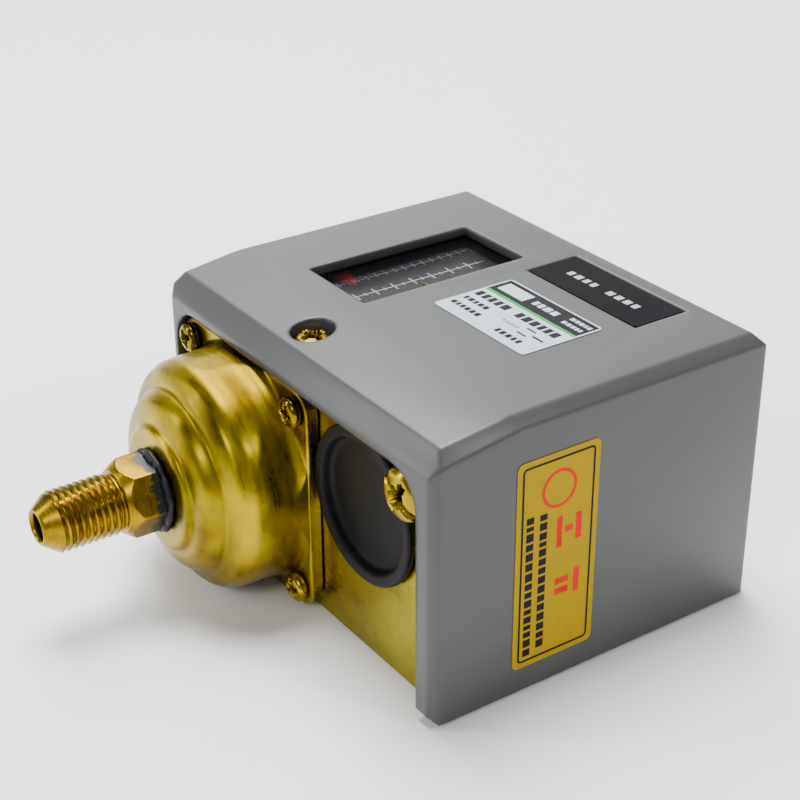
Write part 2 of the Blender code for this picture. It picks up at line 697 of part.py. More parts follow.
def make_scale_plate():
    z0, z1 = SCALE_Z
    y0, y1 = CHASSIS_Y0 + SHEET + GAP, CHASSIS_Y1 - SHEET - GAP
    x0, x1 = -37.0, -10.9
    plate = block("scale_plate", (x0, y0, z0), (x1, y1, z1), BLACK)
    for n, y in enumerate((y0, y1 - 0.8)):
        weld_block(plate, f"scale_leg_{n}", (-31.0, y, 38.0), (-12.0, y + 0.8, z0 + 0.4))
    for n, x in enumerate((RANGE_ARM_X, DIFF_ARM_X)):
        slot = block(f"scale_slot_{n}", (x - 1.0, y0 + 3, 40), (x + 1.0, y1 - 3, 50), helper=True)
        cut(plate, slot)
    return plate


# ---------------------------------------------------------------- switch


def make_switch_base():
    base = block("switch_base", (7.4, 30.5, SHEET + GAP), (32.5, 60.0, 10.0), BAKELITE)
    weld_block(base, "common_step", (7.4, 52.7, 9), (15.4, 60.0, 19.4))
    weld_block(base, "upper_step", (15.0, 49.0, 9), (24.4, 60.0, 21.9))
    weld_block(base, "lower_step", (24.0, 49.0, 9), (32.5, 60.0, 13.7))
    weld_block(base, "barrier_1", (15.0, 46.0, 9), (15.9, 60.0, 29))
    weld_block(base, "barrier_2", (23.6, 46.0, 9), (24.5, 60.0, 29))
    for name, x in TERMINALS:
        screw_hole(base, name, x, 8, 40)
    return base


def screw_hole(obj, name, x, low, high):
    """The hole for a terminal screw."""
    y = TERMINAL_SCREW_Y
    return drill(obj, f"{name}_hole_{low}", (x, y, low), (x, y, high), 1.8, 16)


def contact_rivet(name, low, high):
    tip = (LEAF_X, CONTACT_Y)
    return rod(name, (*tip, low), (*tip, high), CONTACT_R, helper=True, sides=16)


def make_contact_leaf():
    """The moving contact: a leaf on the common terminal, with its rivet at the tip and its button."""
    pivot = world(LEAF_X, LEAF_Y, LEAF_Z)
    low, high = (LEAF_X - 2.2, 31.2, LEAF_Z - 0.3), (LEAF_X + 2.2, 52.4, LEAF_Z + 0.3)
    leaf = block("contact_leaf", low, high, BRASS, pivot)
    fuse(leaf, contact_rivet("leaf_rivet", LEAF_Z - 1.1, LEAF_Z + 1.1))
    foot, shoulder, crown, top = ((LEAF_X, BUTTON_Y, z) for z in (LEAF_Z + 0.6, 28.7, 28.9, 29.7))
    button = rod("leaf_button", foot, crown, 1.9, BLACK, pivot, sides=20)
    fuse(button, rod("button_crown", shoulder, top, 1.9, helper=True, sides=20, end_radius=0.8))
    return leaf, button


def make_terminals():
    common = block("common_terminal", (LEAF_X - 2.9, 52.8, 19.7), (LEAF_X + 2.9, 59.4, 20.5), BRASS)
    upper = block("upper_contact", (17.0, 31.2, 22.2), (21.8, 59.4, 23.0), BRASS)
    weld_block(upper, "upper_finger", (LEAF_X - 2.2, 31.2, 22.2), (17.5, 34.4, 23.0))
    fuse(upper, contact_rivet("upper_rivet", 21.4, 22.6))
    lower = block("lower_contact", (25.5, 31.2, 14.0), (30.0, 59.4, 14.8), BRASS)
    weld_block(lower, "lower_finger", (LEAF_X - 2.2, 31.2, 14.0), (26.0, 34.4, 14.8))
    fuse(lower, contact_rivet("lower_rivet", 14.4, 16.0))
    plates = {"common": (common, 20.5), "upper": (upper, 23.0), "lower": (lower, 14.8)}
    for name, x in TERMINALS:
        plate, top = plates[name]
        screw_hole(plate, f"{name}_plate", x, top - 3, top + 3)
        base = (x, TERMINAL_SCREW_Y, top + GAP)
        pan_screw(f"{name}_terminal_screw", base, (0, 0, 1), TERMINAL_SCREW_SIZE, STEEL, sides=20)


def add_cover():
    sx, sy = COVER_SCREW
    pieces = [make_cover(), make_window(), make_reset_plate(), *make_labels()]
    pieces.append(pan_screw("cover_screw", (sx, sy, 48.4), (0, 0, 1), COVER_SCREW_SIZE, ZINC))
    carry("cover_lift", world(0, MIDDLE_Y, COVER_RIM), *pieces)


def add_bellows_unit():
    make_cup()
    make_backing_plate()
    make_bellows()
    make_connector()
    make_sealant()
    make_push_rod()
    for n, (x, z) in enumerate(flange_corners(), 1):
        base = (x, FLANGE_Y[0] - GAP, z)
        pan_screw(f"flange_screw_{n}", base, (0, -1, 0), FLANGE_SCREW_SIZE, ZINC, sides=20)


def add_settings():
    """Each spindle with its nut and pointer, and the spring between the nut and the lever."""
    make_spindle("range_spindle", RANGE_X, 3.0, 4.4, 5.2)
    make_spindle("differential_spindle", DIFF_X, 2.0, 3.4, 3.8)
    arm_x, point_y = RANGE_ARM_X, RANGE_POINTER_Y
    pieces = [
        make_nut("range_nut", RANGE_X, 7.6, RANGE_NUT_Y, 3.3, arm_x, point_y, (28.6, 30.6)),
        make_pointer("range_pointer", arm_x, point_y, -23.2, 2.3, RED),
    ]
    carry("range_nut_slide", world(RANGE_X, RANGE_NUT_Y[0], SPINDLE_Z), *pieces)
    arm_x, point_y = DIFF_ARM_X, DIFF_POINTER_Y
    pieces = [
        make_nut("differential_nut", DIFF_X, 4.3, DIFF_NUT_Y, 2.3, arm_x, point_y, (31.6, 33.4)),
        make_pointer("differential_pointer", arm_x, point_y, -17.2, 1.4, BRASS),
    ]
    carry("differential_nut_slide", world(DIFF_X, DIFF_NUT_Y[0], SPINDLE_Z), *pieces)
    seat = LEVER_FACE_Y + LEVER_SHEET + GAP
    coil("range_spring", RANGE_X, SPINDLE_Z, seat, RANGE_NUT_Y[0] - GAP, 6.4, 1.8, 7.5, SPRING)
    coil("differential_spring", DIFF_X, SPINDLE_Z, seat, DIFF_NUT_Y[0] - GAP, 3.4, 0.9, 11.5, SPRING)
    make_scale_plate()


def add_switch():
    make_switch_base()
    carry("contact_leaf_pivot", world(LEAF_X, LEAF_Y, LEAF_Z), *make_contact_leaf())
    make_terminals()


def main():
    add_cover()
    make_chassis()
    make_cover_screw_tab()
    add_bellows_unit()
    make_grommet()
    make_earth()
    make_lever_bracket()
    make_lever_pin()
    carry("main_lever_pivot", world(0, LEVER_Y, LEVER_Z), make_lever())
    add_settings()
    add_switch()


main()
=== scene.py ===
"""Looks of the pressure switch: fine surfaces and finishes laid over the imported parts.

Lengths are in millimetres, with Y counted from the cover's end face, and place() turns them into
metres in the shared frame. Lengths inside a finish, on the stage and in the cover's edges are metres.
"""
import math

import bmesh
import bpy
import numpy as np
from mathutils import Matrix


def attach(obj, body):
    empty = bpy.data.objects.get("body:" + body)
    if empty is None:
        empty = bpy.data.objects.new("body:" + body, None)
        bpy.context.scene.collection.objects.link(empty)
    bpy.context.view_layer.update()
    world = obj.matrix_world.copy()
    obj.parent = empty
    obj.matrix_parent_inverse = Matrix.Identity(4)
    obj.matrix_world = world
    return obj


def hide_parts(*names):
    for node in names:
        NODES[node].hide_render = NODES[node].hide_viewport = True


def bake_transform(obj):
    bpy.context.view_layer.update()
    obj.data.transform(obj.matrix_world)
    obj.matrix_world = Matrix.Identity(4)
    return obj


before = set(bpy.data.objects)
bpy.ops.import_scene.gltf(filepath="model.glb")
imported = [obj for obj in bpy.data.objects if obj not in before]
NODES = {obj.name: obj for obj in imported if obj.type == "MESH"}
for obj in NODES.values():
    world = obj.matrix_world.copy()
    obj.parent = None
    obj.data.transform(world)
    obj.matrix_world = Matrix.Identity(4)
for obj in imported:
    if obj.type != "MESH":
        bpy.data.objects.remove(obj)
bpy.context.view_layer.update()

MIDDLE_Y = 35.25  # the frame's origin, counted from the cover's end face
AXIS_X, AXIS_Z = -17.6, 22.2  # connector, cup, bellows and range spring
DIFFERENTIAL_X = -2.0
GROMMET_X, GROMMET_Z = 17.6, 29.2

# ---------------------------------------------------------------- meshes


def place(points):
    """Millimetres counted from the cover's end face, as metres in the shared frame."""
    points = np.asarray(points, float)
    return (points - np.array([0.0, MIDDLE_Y, 0.0])) * 0.001


def new_object(name, data):
    obj = bpy.data.objects.new(name, data)
    bpy.context.scene.collection.objects.link(obj)
    return obj


def shade_smooth(mesh, sharp=None):
    """Smooth shading, broken at edges that turn by more than this many degrees."""
    mesh.polygons.foreach_set("use_smooth", np.full(len(mesh.polygons), True))
    if sharp is not None:
        mesh.set_sharp_from_angle(angle=math.radians(sharp))


def faces_of_grid(rows, columns, close_rows, close_columns):
    """Quads between neighbouring points of a grid, wrapped round where a direction is closed."""
    i = np.arange(rows if close_rows else rows - 1)
    j = np.arange(columns if close_columns else columns - 1)
    i, j = np.meshgrid(i, j, indexing="ij")
    k, m = (i + 1) % rows, (j + 1) % columns
    quads = np.stack([i * columns + j, i * columns + m, k * columns + m, k * columns + j], axis=-1)
    return quads.reshape(-1, 4)


def new_piece(name, points, faces, finish, body, sharp=None):
    """A smooth mesh of these points, with its object at the origin. It rides on a body, or on none
    (None)."""
    mesh = bpy.data.meshes.new(name)
    mesh.from_pydata(place(points).tolist(), [], [list(map(int, f)) for f in faces])
    mesh.validate()
    shade_smooth(mesh, sharp)
    mesh.materials.append(finish)
    obj = new_object(name, mesh)
    if body:
        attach(obj, body)
    return obj


def grid_piece(name, grid, finish, body, close_rows=False, sharp=None, poles=()):
    """A piece from a grid of points of shape (rows, columns, 3), whose columns run round and close.
    poles names the rows, 0 or -1, that are closed to one middle point."""
    rows, columns = grid.shape[:2]
    points = grid.reshape(-1, 3)
    faces = faces_of_grid(rows, columns, close_rows, True).tolist()
    for pole in poles:
        start = 0 if pole == 0 else (rows - 1) * columns
        ring = np.arange(columns) + start
        after = np.roll(ring, -1)
        middle = len(points)
        points = np.vstack([points, grid[pole].mean(axis=0)])
        pairs = zip(after, ring) if pole == 0 else zip(ring, after)
        faces += [[int(a), int(b), middle] for a, b in pairs]
    return new_piece(name, points, faces, finish, body, sharp)


def stand_for(node):
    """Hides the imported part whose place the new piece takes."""
    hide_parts(node)


def smooth_path(corners, radius, steps):
    """A path through corner points, each corner replaced by a quadratic curve that starts and ends at
    most radius from it, and never more than 0.45 of the way to the next corner."""
    corners = [np.asarray(c, float) for c in corners]
    path = [corners[0]]
    for before, corner, after in zip(corners, corners[1:], corners[2:]):
        back, on = before - corner, after - corner
        start = corner + back * min(0.45, radius / max(np.linalg.norm(back), 1e-9))
        end = corner + on * min(0.45, radius / max(np.linalg.norm(on), 1e-9))
        t = np.linspace(0.0, 1.0, steps + 1)[:, None]
        path += list((1 - t) ** 2 * start + 2 * t * (1 - t) * corner + t**2 * end)
    path.append(corners[-1])
    return np.array(path)


def subdivide(path, longest):
    """The path with points added so that no step is longer than this."""
    out = [path[0]]
    for a, b in zip(path, path[1:]):
        n = max(1, int(math.ceil(np.linalg.norm(b - a) / longest)))
        out += [a + (b - a) * k / n for k in range(1, n + 1)]
    return np.array(out)


def around(steps):
    """Angles of one full turn, without the last, which is the first again."""
    return np.linspace(0, 2 * math.pi, steps, endpoint=False)


def across(values, columns):
    """Rows that each repeat one value in every column."""
    return np.repeat(np.asarray(values, float)[:, None], columns, axis=1)


def turned(radius, y, angle, x=AXIS_X, z=AXIS_Z):
    """Points at a radius, a Y and an angle about the line along Y through (x, z)."""
    radius, y, angle = np.broadcast_arrays(radius, y, angle)
    return np.stack([x + radius * np.cos(angle), y, z + radius * np.sin(angle)], axis=-1)


def revolve(path, steps, x=AXIS_X, z=AXIS_Z):
    """Grid of a path of (radius, Y) turned about the line along Y through (x, z)."""
    return turned(path[:, :1], path[:, 1:], around(steps), x, z)


def tube(path, radius, sides):
    """Grid of a round tube along a path: each ring lies across the path's direction, on two axes that
    come from its cross products with Y."""
    along = np.gradient(path, axis=0)
    along /= np.linalg.norm(along, axis=1)[:, None]
    side = np.cross(along, np.array([0.0, 1.0, 0.0]))
    side /= np.maximum(np.linalg.norm(side, axis=1), 1e-9)[:, None]
    up = np.cross(side, along)
    angle = around(sides)[None, :, None]
    ring = np.cos(angle) * side[:, None, :] + np.sin(angle) * up[:, None, :]
    return path[:, None, :] + radius * ring


# ---------------------------------------------------------------- finishes

GOLD, DEEP_GOLD, BRIGHT_GOLD = (0.33, 0.235, 0.001), (0.12, 0.084, 0.001), (0.52, 0.38, 0.002)
SHEET, DEEP_SHEET = (0.38, 0.3, 0.002), (0.24, 0.185, 0.001)
YELLOW_BRASS, DARK_BRASS = (0.33, 0.205, 0.004), (0.13, 0.08, 0.002)
WHITE = (1.0, 1.0, 1.0)
PAINT_EDGE = -0.05245  # Y, in metres, that the sealant brushed on the hexagon reaches


class Nodes:
    """Short calls for building one material."""

    def __init__(self, name, colour, roughness, metallic=0.0):
        self.material = bpy.data.materials.new(name)
        self.material.use_nodes = True
        self.tree = self.material.node_tree
        self.shader = self.tree.nodes["Principled BSDF"]
        self.shader.inputs["Base Color"].default_value = (*colour, 1)
        self.shader.inputs["Roughness"].default_value = roughness
        self.shader.inputs["Metallic"].default_value = metallic
        self.coords = self.tree.nodes.new("ShaderNodeTexCoord").outputs["Object"]

    def add(self, kind, values=None, **settings):
        """A node with its settings, and its inputs linked or set."""
        node = self.tree.nodes.new(kind)
        for key, value in settings.items():
            setattr(node, key, value)
        for key, value in (values or {}).items():
            if isinstance(value, bpy.types.NodeSocket):
                self.tree.links.new(value, node.inputs[key])
            else:
                node.inputs[key].default_value = value
        return node

    def link(self, out, name):
        self.tree.links.new(out, self.shader.inputs[name])

    def stretched(self, scale, centre=(0, 0, 0)):
        """Object coordinates multiplied by scale on each axis, about a centre."""
        shift = tuple(-c * s for c, s in zip(centre, scale))
        values = {"Vector": self.coords, "Scale": scale, "Location": shift}
        return self.add("ShaderNodeMapping", values).outputs[0]

    def noise(self, scale, vector=None, detail=4.0, rough=0.55):
        values = {"Vector": vector or self.coords, "Scale": scale, "Detail": detail, "Roughness": rough}
        return self.add("ShaderNodeTexNoise", values).outputs["Fac"]

    def ramp(self, value, *stops):
        """Colours at places from 0 to 1, blended between them."""
        node = self.add("ShaderNodeValToRGB", {"Fac": value})
        ramp = node.color_ramp
        while len(ramp.elements) < len(stops):
            ramp.elements.new(0.5)
        for element, (at, colour) in zip(ramp.elements, stops):
            element.position = at
            element.color = (*colour, 1)
        return node.outputs["Color"]

    def spread(self, value, low, high, from_low=0.3, from_high=0.7):
        """value, taken from one range to another and held at its ends."""
        ends = {"From Min": from_low, "From Max": from_high, "To Min": low, "To Max": high}
        return self.add("ShaderNodeMapRange", {"Value": value, **ends}).outputs["Result"]

    def calculate(self, operation, *values):
        return self.add("ShaderNodeMath", dict(enumerate(values)), operation=operation).outputs[0]

    def mix(self, factor, a, b, blend="MIX"):
        """Two colours mixed by a factor. Each may be a socket or a constant."""
        node = self.add("ShaderNodeMix", data_type="RGBA", blend_type=blend)
        for socket, value in ((node.inputs[0], factor), (node.inputs[6], a), (node.inputs[7], b)):
            if isinstance(value, bpy.types.NodeSocket):
                self.tree.links.new(value, socket)
            else:
                socket.default_value = value if isinstance(value, float) else (*value, 1)
        return node.outputs[2]

    def bump(self, height, strength, distance, soft=0.0):
        """Raises the surface by height. With soft, edges also look rounded to that radius."""
        values = {"Height": height, "Strength": strength, "Distance": distance}
        if soft:
            rounded = self.add("ShaderNodeBevel", {"Radius": soft}, samples=8)
            values["Normal"] = rounded.outputs["Normal"]
        self.link(self.add("ShaderNodeBump", values).outputs["Normal"], "Normal")
        return self.material


def passivated(name, grain, base=GOLD, deep=DEEP_GOLD, rough=(0.2, 0.36), recess_shade=False):
    """Zinc under a yellow chromate film: gold that drifts to green and to pink in wide patches, with
    fine drawing lines along one direction, given by the grain's stretch. A screw's cross is darkened
    with painted shade."""
    m = Nodes(name, base, 0.3, 1.0)
    wide = m.noise(55.0, detail=3.0)
    gold = m.ramp(wide, (0.3, deep), (0.52, base), (0.72, BRIGHT_GOLD))
    drift = m.noise(38.0, m.stretched(WHITE, (0.03, 0.01, 0.02)), detail=2.0)
    tint = m.ramp(drift, (0.34, (0.7, 0.86, 0.3)), (0.5, WHITE), (0.7, (1.0, 0.84, 0.7)))
    tinted = m.mix(0.55, gold, tint, "MULTIPLY")
    lines = m.noise(1.0, m.stretched(grain), detail=5.0, rough=0.6)
    marks = m.noise(900.0, detail=3.0)
    colour = m.mix(m.spread(marks, 0.0, 0.35, 0.55, 0.8), tinted, (0.08, 0.05, 0.002))
    if recess_shade:
        # Painted shade: near black is mixed in where the screw's cross attribute is high, and stands for
        # the shade inside the recess.
        cross = m.add("ShaderNodeAttribute", attribute_name="recess_shade").outputs["Fac"]
        colour = m.mix(m.spread(cross, 0.0, 0.9, 0.2, 0.8), colour, (0.012, 0.008, 0.003))
    m.link(colour, "Base Color")
    m.link(m.spread(lines, *rough), "Roughness")
    return m.bump(m.calculate("ADD", lines, marks), 0.18, 0.00006)


def plastic(name, colour, rough, grain=0.12, speck=2600.0, gloss=0.35, soft=0.0):
    """Moulded plastic: a slow drift in tone, faint scuffs that change the gloss and a fine grain."""
    m = Nodes(name, colour, rough)
    slow = m.noise(30.0, detail=2.0)
    darker = tuple(c * 0.93 for c in colour)
    m.link(m.ramp(slow, (0.35, darker), (0.65, colour)), "Base Color")
    scuff = m.noise(180.0, m.stretched((1, 0.25, 1)), detail=6.0, rough=0.65)
    m.link(m.spread(scuff, rough - 0.02, rough + 0.03), "Roughness")
    m.shader.inputs["Specular IOR Level"].default_value = gloss
    return m.bump(m.noise(speck, detail=2.0), grain, 0.00004, soft)


def turned_metal(name, colour, rough, stretch):
    """Machined metal: tool lines round the axis, and a slow drift in tone."""
    m = Nodes(name, colour, rough, 1.0)
    slow = m.noise(120.0, detail=3.0)
    dark = tuple(c * 0.72 for c in colour)
    m.link(m.ramp(slow, (0.3, dark), (0.6, colour)), "Base Color")
    lines = m.noise(1.0, m.stretched(stretch), detail=4.0, rough=0.6)
    m.link(m.spread(lines, rough - 0.06, rough + 0.12), "Roughness")
    return m.bump(lines, 0.15, 0.00004)


def painted_brass(name):
    """Machined brass, with sealant brushed over the hexagon's back edge: black where Y passes a limit
    that a noise moves in and out."""
    m = Nodes(name, YELLOW_BRASS, 0.27, 1.0)
    slow = m.noise(260.0, detail=4.0)
    brass = m.ramp(slow, (0.3, DARK_BRASS), (0.6, YELLOW_BRASS))
    along = m.add("ShaderNodeSeparateXYZ", {"Vector": m.coords}).outputs["Y"]
    ragged = m.noise(1.0, m.stretched((900, 120, 900)), detail=6.0, rough=0.7)
    moved = m.calculate("MULTIPLY_ADD", ragged, 0.006, along)
    paint = m.spread(moved, 0.0, 1.0, PAINT_EDGE, PAINT_EDGE + 0.00012)
    m.link(m.mix(paint, brass, (0.006, 0.006, 0.007)), "Base Color")
    m.link(m.spread(paint, 1.0, 0.0, 0.0, 1.0), "Metallic")
    lines = m.noise(1.0, m.stretched((80, 5000, 80)), detail=4.0, rough=0.6)
    m.link(m.spread(lines, 0.2, 0.4), "Roughness")
    return m.bump(lines, 0.15, 0.00004)


def film(name, colour, rough, flecks=0.04):
    """Printed film: an even colour with a faint mottle and a soft sheen."""
    m = Nodes(name, colour, rough)
    mottle = m.noise(700.0, detail=3.0)
    other = tuple(max(0.0, c - flecks) for c in colour)
    m.link(m.ramp(mottle, (0.35, other), (0.65, colour)), "Base Color")
    m.shader.inputs["Specular IOR Level"].default_value = 0.06
    return m.bump(m.noise(400.0, detail=2.0), 0.05, 0.00003)


def smoked_plastic(name):
    """Clear plastic with a grey tint, polished unevenly."""
    m = Nodes(name, (0.012, 0.014, 0.016), 0.06)
    m.shader.inputs["Alpha"].default_value = 0.2
    m.shader.inputs["Specular IOR Level"].default_value = 0.4
    m.link(m.spread(m.noise(260.0, detail=5.0), 0.04, 0.14), "Roughness")
    return m.material


GREY = plastic("grey_cover_finish", (0.056, 0.058, 0.0595), 0.35, gloss=0.45, soft=0.0012)
BLACK = plastic("black_plate_finish", (0.006, 0.006, 0.0075), 0.6, grain=0.05, gloss=0.05)
SCALE_BLACK = plastic("scale_plate_finish", (0.02, 0.022, 0.024), 0.5, grain=0.02)
PHENOLIC = plastic("switch_base_finish", (0.035, 0.02, 0.014), 0.42, grain=0.2)
RUBBER = plastic("grommet_rubber", (0.006, 0.006, 0.007), 0.5, grain=0.35, speck=1500.0, gloss=0.15)
SEALANT = plastic("sealant_finish", (0.006, 0.006, 0.007), 0.45, grain=0.9, speck=700.0, gloss=0.25)
PANE = smoked_plastic("smoked_pane")
CUP_GOLD = passivated("cup_film", (160, 900, 160), rough=(0.24, 0.42))
SHEET_GOLD = passivated("sheet_film", (60, 60, 500), SHEET, DEEP_SHEET, rough=(0.24, 0.34))
SCREW_GOLD = passivated("screw_film", (400, 400, 400), rough=(0.14, 0.3), recess_shade=True)
BRASS = turned_metal("turned_brass", YELLOW_BRASS, 0.3, (80, 5000, 80))
PAINTED_BRASS = painted_brass("painted_brass")
STEEL = turned_metal("turned_steel", (0.55, 0.55, 0.53), 0.26, (200, 3500, 200))
WIRE = turned_metal("spring_wire", (0.3, 0.31, 0.32), 0.3, (900, 900, 900))
BRONZE = turned_metal("bellows_bronze", (0.62, 0.38, 0.17), 0.28, (500, 500, 500))
WHITE_FILM = film("white_film", (0.5, 0.57, 0.6), 0.4)
YELLOW_FILM = film("yellow_film", (0.42, 0.275, 0.0), 0.6, 0.02)
SCALE_WHITE = film("scale_white", (0.9, 0.92, 0.93), 0.5)
POINTER_RED = film("pointer_enamel", (0.85, 0.015, 0.012), 0.4)
BLACK_INK = film("black_ink", (0.012, 0.012, 0.014), 0.38, 0.004)
GREEN_INK = film("green_ink", (0.02, 0.33, 0.09), 0.38)
RED_INK = film("red_ink", (0.68, 0.02, 0.012), 0.45)
PALE_INK = film("pale_ink", (0.4, 0.42, 0.43), 0.45)

FINISHES = (
    (GREY, "cover"),
    (PANE, "window_pane"),
    (BLACK, "reset_blanking_plate", "leaf_button"),
    (WHITE_FILM, "rating_label"),
    (YELLOW_FILM, "side_label"),
    (SCALE_BLACK, "scale_plate"),
    (PHENOLIC, "switch_base"),
    (RUBBER, "cable_grommet"),
    (SEALANT, "sealant_ring"),
    (SHEET_GOLD, "chassis", "cover_screw_tab", "bellows_backing_plate", "main_lever", "lever_bracket"),
    (CUP_GOLD, "bellows_cup"),
    (SCREW_GOLD, "earth_spacer", "earth_screw", "cover_screw"),
    (SCREW_GOLD, "flange_screw_1", "flange_screw_2", "flange_screw_3", "flange_screw_4"),
    (BRASS, "flare_connector", "differential_pointer", "contact_leaf", "common_terminal"),
    (BRASS, "upper_contact", "lower_contact"),
    (STEEL, "range_spindle", "differential_spindle", "range_nut", "differential_nut", "push_rod"),
    (STEEL, "lever_pin", "common_terminal_screw", "upper_terminal_screw", "lower_terminal_screw"),
    (WIRE, "range_spring", "differential_spring"),
    (BRONZE, "bellows"),
    (POINTER_RED, "range_pointer"),
)
for finish, *nodes in FINISHES:
    for node in nodes:
        for material_slot in NODES[node].material_slots:
            material_slot.material = finish

# ---------------------------------------------------------------- connector

HEX_FLATS, HEX_TURN, HEX_ROUND, HEX_END = 12.7, math.radians(-5.8), 7.3, -25.0
PITCH, CREST, THREAD_DEPTH = 1.27, 5.55, 0.72
THREAD_START, THREAD_END = -25.3, -37.6
CONNECTOR_PATH = (
    (4.45, -15.2), (4.45, -18.3), (7.05, -18.35), (7.33, -18.75), (7.33, -22.7), (5.75, -24.9),
    (5.0, -25.0), (5.0, -25.5), (CREST, -26.2), (CREST, -36.4), (4.9, -37.3), (3.45, -39.25),
    (3.1, -39.6), (2.75, -39.6), (2.4, -39.1), (2.4, -15.2),
)


def make_connector():
    """One surface, a path carried round the axis. At each point the radius is the smaller of the
    path's and, on the hexagon, of a hexagon's edge at that angle; on the thread it falls towards the
    root by a rounded saw tooth that moves on one pitch each turn."""
    path = subdivide(smooth_path(CONNECTOR_PATH, 0.22, 4), 0.16)
    angle = around(160)[None, :]
    r, y = path[:, :1], path[:, 1:]
    outside = np.arange(len(path))[:, None] < np.argmin(y)
    flats = HEX_FLATS / 2 / np.cos(np.mod(angle - HEX_TURN, math.pi / 3) - math.pi / 6)
    hexagon = np.minimum(r, np.minimum(flats, HEX_ROUND))
    radius = np.where(outside & (y > HEX_END), hexagon, r)
    tooth = np.abs(np.mod(y / PITCH + angle / (2 * math.pi), 1.0) - 0.5) * 2
    cut = THREAD_DEPTH * np.clip(1.15 * (1 - tooth) - 0.1, 0, 1)
    fade = np.clip((THREAD_START - y) / 0.9, 0, 1) * np.clip((y - THREAD_END) / 1.1, 0, 1)
    thread = np.minimum(radius, CREST - cut * fade)
    grid = turned(np.where(outside & (y < THREAD_START), thread, radius), y, angle)
    piece = grid_piece("threaded_connector", grid[:, ::-1], PAINTED_BRASS, "chassis", True, sharp=28)
    stand_for("flare_connector")


# ---------------------------------------------------------------- bellows cup

CUP_WALL = 0.9
NECK_RADIUS = 4.8
FLANGE_HALF, FLANGE_CORNER, FLANGE_BACK = 21.2, 3.6, 2.35
CUP_PATH = (
    (NECK_RADIUS, -17.0), (10.3, -17.0), (11.2, -16.6), (11.7, -15.9), (13.4, -15.6), (15.3, -14.7),
    (16.5, -13.2), (16.9, -12.1), (18.0, -11.8), (20.0, -10.7), (21.1, -8.7), (21.35, -6.0),
    (21.35, -2.6), (21.5, -0.2), (22.2, 1.2),
)


def rounded_square(angle, half, corner):
    """Distance from the middle to the edge of a square with rounded corners, at each angle."""
    c, s = np.abs(np.cos(angle)), np.abs(np.sin(angle))
    straight = half / np.maximum(c, s)
    d = half - corner
    along = d * (c + s)
    arc = along + np.sqrt(np.maximum(corner**2 - 2 * d**2 + along**2, 0))
    in_corner = np.minimum(c, s) * straight > d
    return np.where(in_corner, arc, straight)


def make_cup():
    """The drawn cup and its square flange as one sheet: a path of (radius, Y) turned about the axis,
    whose last points move out to the rounded square, then back down the inner side."""
    steps = 240
    angle = around(steps)
    edge = rounded_square(angle, FLANGE_HALF, FLANGE_CORNER)[None, :]
    cup = subdivide(smooth_path(CUP_PATH, 0.8, 5), 0.45)
    inset = 0.02 * np.arange(len(cup), 0, -1)[:, None] / len(cup)
    cup_r = np.minimum(cup[:, :1], edge - inset)
    shares = np.array([0.15, 0.4, 0.7, 0.93, 1.0])[:, None]
    flange_r = cup_r[-1:] + (edge - 0.15 - cup_r[-1:]) * shares
    rim_r = np.vstack([edge, edge, edge - 0.15])
    inside = cup[::-1][3:]
    inside = inside[inside[:, 0] > 6.0]
    inside_r = np.minimum(inside[:, :1] - CUP_WALL, edge - 1.2)
    inside_y = np.minimum(inside[:, 1] + CUP_WALL, FLANGE_BACK)
    r = np.vstack([cup_r, flange_r, rim_r, inside_r, across([NECK_RADIUS], steps)])
    flange_y, rim_y = [1.32, 1.4, 1.4, 1.4, 1.48], [1.6, 2.2, FLANGE_BACK]
    y = np.concatenate([cup[:, 1], flange_y, rim_y, inside_y, [-16.1]])[:, None]
    piece = grid_piece("drawn_cup", turned(r, y, angle), CUP_GOLD, "chassis", True, sharp=50)
    stand_for("bellows_cup")


def make_sealant():
    """A lump of brushed-on sealant round the neck: a ring whose section swells and shrinks round the
    axis by a sum of sines, with a ragged lip over the hexagon's back edge."""
    angle = around(180)
    ragged = 0.35 * np.sin(7 * angle + 1) + 0.3 * np.sin(17 * angle) + 0.25 * np.sin(31 * angle + 2)
    section = around(18)[:, None]
    lump = 1 + 0.12 * np.sin(5 * angle + 0.6) + 0.08 * np.sin(13 * angle)
    r = 6.35 + 1.35 * lump * np.cos(section)
    y = -17.75 + 0.75 * lump * np.sin(section) + 0.22 * ragged * np.clip(-np.sin(section), 0, 1)
    piece = grid_piece("neck_sealant", turned(r, y, angle), SEALANT, "chassis", True)
    stand_for("sealant_ring")


# ---------------------------------------------------------------- screws

# Head radius, head height, shank radius and shank length.
FLANGE_SIZES = (2.75, 1.9, 1.4, 6.0)
COVER_SIZES = (3.4, 2.1, 1.6, 8.0)
EARTH_SIZES = (4.6, 2.6, 2.0, 7.0)
TERMINAL_SIZES = (2.75, 1.9, 1.45, 6.0)
FLANGE_SPACING = 17.6  # from the axis to each flange screw, along X and along Z
UP, OUT = (0, 0, 1), (0, -1, 0)


def screw_profile(radius, height, shank, length):
    """Path of (radius, height) from the tip, up the threads, round the head's rim and over its dome,
    a cosine and a sine that are flattened at the rim."""
    tip = [(shank * 0.3, -length), (shank * 0.9, -length + shank * 0.6)]
    threads = []
    for h in np.arange(-length + shank * 0.8, -0.6, 0.5):
        threads += [(shank, h), (shank * 0.84, h + 0.25)]
    rim = [(shank, 0.0), (radius * 0.93, 0.0), (radius, height * 0.12), (radius, height * 0.4)]
    dome = [(radius * math.cos(a) ** 0.55, height * (0.4 + 0.6 * math.sin(a)))
            for a in np.linspace(0.12, 1.5, 9)]
    crown = [(dome[-1][0] * k, height * (1.0 + 0.004 * (1 - k))) for k in np.linspace(0.93, 0.06, 16)]
    return np.array(tip + threads + rim + dome + crown)


